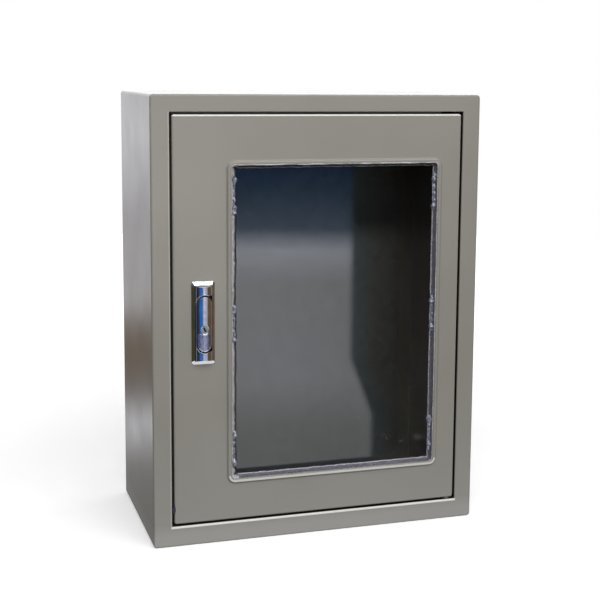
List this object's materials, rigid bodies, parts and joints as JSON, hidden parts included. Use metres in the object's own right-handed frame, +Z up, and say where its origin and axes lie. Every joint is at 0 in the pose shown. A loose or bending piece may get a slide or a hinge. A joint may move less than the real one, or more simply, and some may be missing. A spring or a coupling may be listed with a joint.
{
  "type": "electric meter box",
  "caption": "Upright grey sheet-steel meter box with an inset hinged door, a glued-in clear window with a raised bead, and a narrow chrome push-button lever handle.",
  "frame": {"origin": "centre of the case's flat base", "axes": "+Z up, front with the door faces -Y, +X to the right seen from the front"},
  "size_m": [0.38, 0.2105, 0.5],
  "materials": {
    "grey_paint": "light warm grey baked paint, semi-gloss",
    "plate_steel": "galvanised sheet",
    "stud_zinc": "yellow zinc plate",
    "zinc_steel": "bright zinc plate",
    "clear_pane": "clear polished acrylic",
    "pane_seal": "grainy translucent sealant",
    "clear_glue": "clear hardened glue",
    "chrome": "bright chrome plate on zinc casting",
    "plug_nickel": "satin nickel plate"
  },
  "bodies": {
    "case": {"case_shell": "grey_paint", "mounting_plate": "plate_steel", "plate_studs": "stud_zinc", "plate_spacers": "zinc_steel", "plate_washers": "zinc_steel", "plate_nuts": "zinc_steel", "hinge_pins": "zinc_steel"},
    "door": {"door_panel": "grey_paint", "hinge_bushes": "zinc_steel", "window_pane": "clear_pane", "pane_sealant": "pane_seal", "glue_beads": "clear_glue", "handle_base": "chrome", "handle_bracket": "zinc_steel", "bracket_screws": "zinc_steel"},
    "rotor": {"handle_rotor": "chrome", "cam": "zinc_steel", "cam_washer": "zinc_steel", "cam_nut": "zinc_steel"},
    "lever": {"handle_lever": "chrome", "lever_pin": "zinc_steel"},
    "button": {"push_button": "chrome"},
    "plug": {"key_plug": "plug_nickel"}
  },
  "joints": [
    {"name": "door_hinge", "type": "hinge", "parent": "case", "child": "door", "pos_m": [0.1605, -0.0936, 0.25], "axis": [0, 0, 1], "range_deg": [0, 105]},
    {"name": "lever_turn", "type": "hinge", "parent": "door", "child": "rotor", "pos_m": [-0.1338, -0.1, 0.2745], "axis": [0, -1, 0], "range_deg": [0, 90]},
    {"name": "lever_tilt", "type": "hinge", "parent": "rotor", "child": "lever", "pos_m": [-0.1338, -0.107, 0.2745], "axis": [-1, 0, 0], "range_deg": [0, 25]},
    {"name": "button_press", "type": "slide", "parent": "lever", "child": "button", "axis": [0, 1, 0], "range_m": [0, 0.0015], "stiffness_N_per_m": 600},
    {"name": "key_turn", "type": "hinge", "parent": "lever", "child": "plug", "pos_m": [-0.1338, -0.11, 0.246], "axis": [0, 1, 0], "range_deg": [0, 90]}
  ]
}
